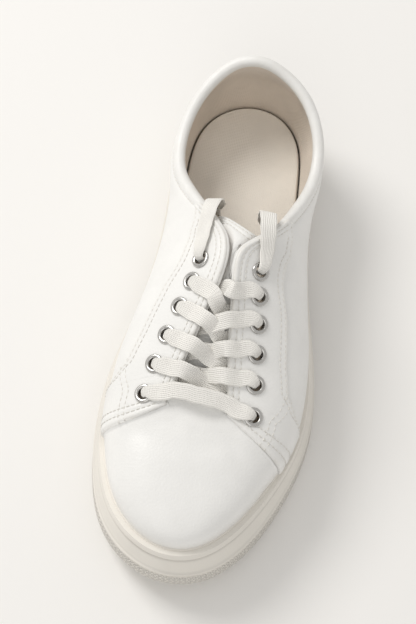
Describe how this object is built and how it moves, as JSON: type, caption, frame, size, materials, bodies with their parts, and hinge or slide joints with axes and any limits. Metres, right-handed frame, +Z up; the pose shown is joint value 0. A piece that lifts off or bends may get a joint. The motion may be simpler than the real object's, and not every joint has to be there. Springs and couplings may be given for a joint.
{
  "type": "sneaker",
  "caption": "Low leather lace-up sneaker on a rubber cup sole, open at collar and throat, with eyelets, flat laces, tongue and insole.",
  "frame": {"origin": "on the floor, under the middle of the shoe's box", "axes": "-Y towards the toe, +Y towards the heel, -X the inner side of the foot, +X the outer side, +Z up"},
  "size_m": [0.107, 0.272, 0.0908],
  "materials": {
    "outsole": "matte",
    "midsole": "satin",
    "insole": "matte",
    "upper": "satin",
    "facing": "satin",
    "tongue": "satin",
    "eyelet": "satin",
    "lace": "matte",
    "lace_tip": "satin"
  },
  "bodies": {
    "root": {"outsole": "outsole", "midsole": "midsole", "insole": "insole", "upper": "upper", "facing_inner": "facing", "facing_outer": "facing", "tongue": "tongue", "eyelet_inner_1": "eyelet", "eyelet_inner_2": "eyelet", "eyelet_inner_3": "eyelet", "eyelet_inner_4": "eyelet", "eyelet_inner_5": "eyelet", "eyelet_inner_6": "eyelet", "eyelet_outer_1": "eyelet", "eyelet_outer_2": "eyelet", "eyelet_outer_3": "eyelet", "eyelet_outer_4": "eyelet", "eyelet_outer_5": "eyelet", "eyelet_outer_6": "eyelet", "lace_bar": "lace", "lace_crossing_2": "lace", "lace_crossing_3": "lace", "lace_crossing_4": "lace", "lace_crossing_5": "lace", "lace_end_inner": "lace", "lace_end_outer": "lace", "lace_tip_inner": "lace_tip", "lace_tip_outer": "lace_tip"}
  },
  "joints": []
}
